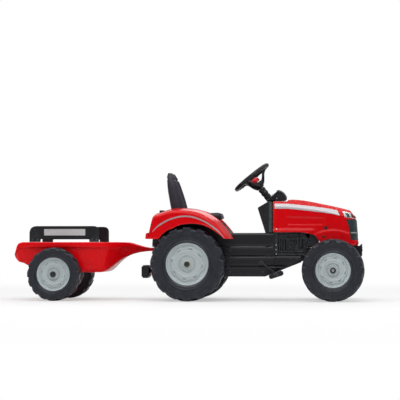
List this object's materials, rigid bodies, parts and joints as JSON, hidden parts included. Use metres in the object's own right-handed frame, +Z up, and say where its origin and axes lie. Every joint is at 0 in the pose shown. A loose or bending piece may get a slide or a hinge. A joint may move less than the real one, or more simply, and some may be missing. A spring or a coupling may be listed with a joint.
{
  "type": "pedal tractor with trailer",
  "caption": "Ride-on pedal tractor with steering, chain drive, opening bonnet, sliding seat and a two-wheeled trailer on a lift-out hitch pin.",
  "frame": {"origin": "on the floor, under the middle of the rear axle, within 8 mm of the middle of the bounding box from nose to tail", "axes": "+X forwards, +Y to the rider's left, +Z up"},
  "size_m": [1.6351, 0.48, 0.6482],
  "materials": {
    "red": "gloss",
    "black": "satin",
    "gloss_black": "gloss",
    "tyre": "matte",
    "hub_grey": "satin",
    "steel": "satin",
    "dark_steel": "satin",
    "nylon": "satin",
    "lens": "gloss"
  },
  "bodies": {
    "chassis": {"main_frame": "dark_steel", "chassis_shell_right": "black", "chassis_shell_left": "black", "rear_axle_bush_right": "nylon", "rear_axle_bush_left": "nylon", "crank_bush_right": "nylon", "crank_bush_left": "nylon", "front_bolster": "black", "bonnet_hinge_pin": "steel", "front_weight": "black", "front_axle_beam": "dark_steel", "engine_block": "black", "dash_panel": "black", "dash_binnacle": "gloss_black", "steering_column": "black", "seat_base": "black", "mudguard_right": "red", "mudguard_left": "red", "tow_hitch": "black", "rear_weight": "black", "drive_chain": "dark_steel"},
    "bonnet": {"bonnet": "red", "grille": "black", "headlight_right": "lens", "headlight_left": "lens"},
    "seat": {"seat_shell": "black"},
    "steering": {"steering_wheel": "black", "steering_shaft": "steel"},
    "horn": {"horn_button": "red"},
    "knuckle_right": {"steering_knuckle_right": "steel", "front_axle_nut_right": "steel"},
    "knuckle_left": {"steering_knuckle_left": "steel", "front_axle_nut_left": "steel"},
    "tie_rod": {"tie_rod": "steel"},
    "front_wheel_right": {"front_tyre_right": "tyre", "front_hub_right": "hub_grey"},
    "front_wheel_left": {"front_tyre_left": "tyre", "front_hub_left": "hub_grey"},
    "rear_drive": {"rear_axle": "steel", "rear_sprocket": "steel", "rear_tyre_right": "tyre", "rear_hub_right": "hub_grey", "rear_axle_nut_right": "steel", "rear_axle_nut_left": "steel"},
    "rear_wheel_left": {"rear_tyre_left": "tyre", "rear_hub_left": "hub_grey"},
    "crank": {"pedal_crank": "steel", "crank_sprocket": "steel"},
    "pedal_right": {"pedal_right": "black"},
    "pedal_left": {"pedal_left": "black"},
    "trailer": {"trailer_tub": "red", "side_board_right": "black", "side_board_left": "black", "trailer_axle": "steel"},
    "trailer_wheel_right": {"trailer_tyre_right": "tyre", "trailer_hub_right": "hub_grey"},
    "trailer_wheel_left": {"trailer_tyre_left": "tyre", "trailer_hub_left": "hub_grey"},
    "hitch_pin": {"hitch_pin": "steel"}
  },
  "joints": [
    {"name": "bonnet_tilt", "type": "hinge", "parent": "chassis", "child": "bonnet", "pos_m": [0.766, 0, 0.264], "axis": [0, 1, 0], "range_deg": [0, 52]},
    {"name": "seat_slide", "type": "slide", "parent": "chassis", "child": "seat", "axis": [1, 0, 0], "range_m": [0, 0.045]},
    {"name": "steering_turn", "type": "hinge", "parent": "chassis", "child": "steering", "pos_m": [0.285, 0, 0.58], "axis": [-0.6293, 0, 0.7771], "range_deg": [-36, 36]},
    {"name": "horn_press", "type": "slide", "parent": "steering", "child": "horn", "axis": [0.6293, 0, -0.7771], "range_m": [0, 0.003], "stiffness_N_per_m": 800},
    {"name": "knuckle_right_turn", "type": "hinge", "parent": "chassis", "child": "knuckle_right", "pos_m": [0.667, -0.118, 0.14309], "axis": [0, 0, 1], "range_deg": [-24.1, 24.1]},
    {"name": "knuckle_left_turn", "type": "hinge", "parent": "chassis", "child": "knuckle_left", "pos_m": [0.667, 0.118, 0.14309], "axis": [0, 0, 1], "range_deg": [-24.1, 24.1]},
    {"name": "tie_rod_pivot", "type": "hinge", "parent": "knuckle_right", "child": "tie_rod", "pos_m": [0.621, -0.118, 0.166], "axis": [0, 0, 1], "range_deg": [-24.1, 24.1]},
    {"name": "front_wheel_right_spin", "type": "hinge", "parent": "knuckle_right", "child": "front_wheel_right", "pos_m": [0.667, -0.183, 0.14309], "axis": [0, 1, 0], "continuous": true},
    {"name": "front_wheel_left_spin", "type": "hinge", "parent": "knuckle_left", "child": "front_wheel_left", "pos_m": [0.667, 0.183, 0.14309], "axis": [0, 1, 0], "continuous": true},
    {"name": "rear_axle_spin", "type": "hinge", "parent": "chassis", "child": "rear_drive", "pos_m": [0, 0, 0.17092], "axis": [0, 1, 0], "continuous": true},
    {"name": "rear_wheel_left_spin", "type": "hinge", "parent": "chassis", "child": "rear_wheel_left", "pos_m": [0, 0.192, 0.17092], "axis": [0, 1, 0], "continuous": true},
    {"name": "crank_spin", "type": "hinge", "parent": "chassis", "child": "crank", "pos_m": [0.335, 0, 0.177], "axis": [0, 1, 0], "continuous": true},
    {"name": "pedal_right_spin", "type": "hinge", "parent": "crank", "child": "pedal_right", "pos_m": [0.40551, -0.153, 0.1227], "axis": [0, 1, 0], "continuous": true},
    {"name": "pedal_left_spin", "type": "hinge", "parent": "crank", "child": "pedal_left", "pos_m": [0.26449, 0.153, 0.2313], "axis": [0, 1, 0], "continuous": true},
    {"name": "trailer_yaw", "type": "hinge", "parent": "chassis", "child": "trailer", "pos_m": [-0.17, 0, 0.237], "axis": [0, 0, 1], "range_deg": [-45, 45]},
    {"name": "trailer_wheel_right_spin", "type": "hinge", "parent": "trailer", "child": "trailer_wheel_right", "pos_m": [-0.625, -0.189, 0.12322], "axis": [0, 1, 0], "continuous": true},
    {"name": "trailer_wheel_left_spin", "type": "hinge", "parent": "trailer", "child": "trailer_wheel_left", "pos_m": [-0.625, 0.189, 0.12322], "axis": [0, 1, 0], "continuous": true},
    {"name": "hitch_pin_lift", "type": "slide", "parent": "chassis", "child": "hitch_pin", "axis": [0, 0, 1], "range_m": [0, 0.048]}
  ],
  "couplings": [
    {"joint": "knuckle_right_turn", "follows": "steering_turn", "ratio": 0.66667},
    {"joint": "knuckle_left_turn", "follows": "steering_turn", "ratio": 0.66667},
    {"joint": "tie_rod_pivot", "follows": "steering_turn", "ratio": -0.66667},
    {"joint": "crank_spin", "follows": "rear_axle_spin", "ratio": 0.63636}
  ]
}
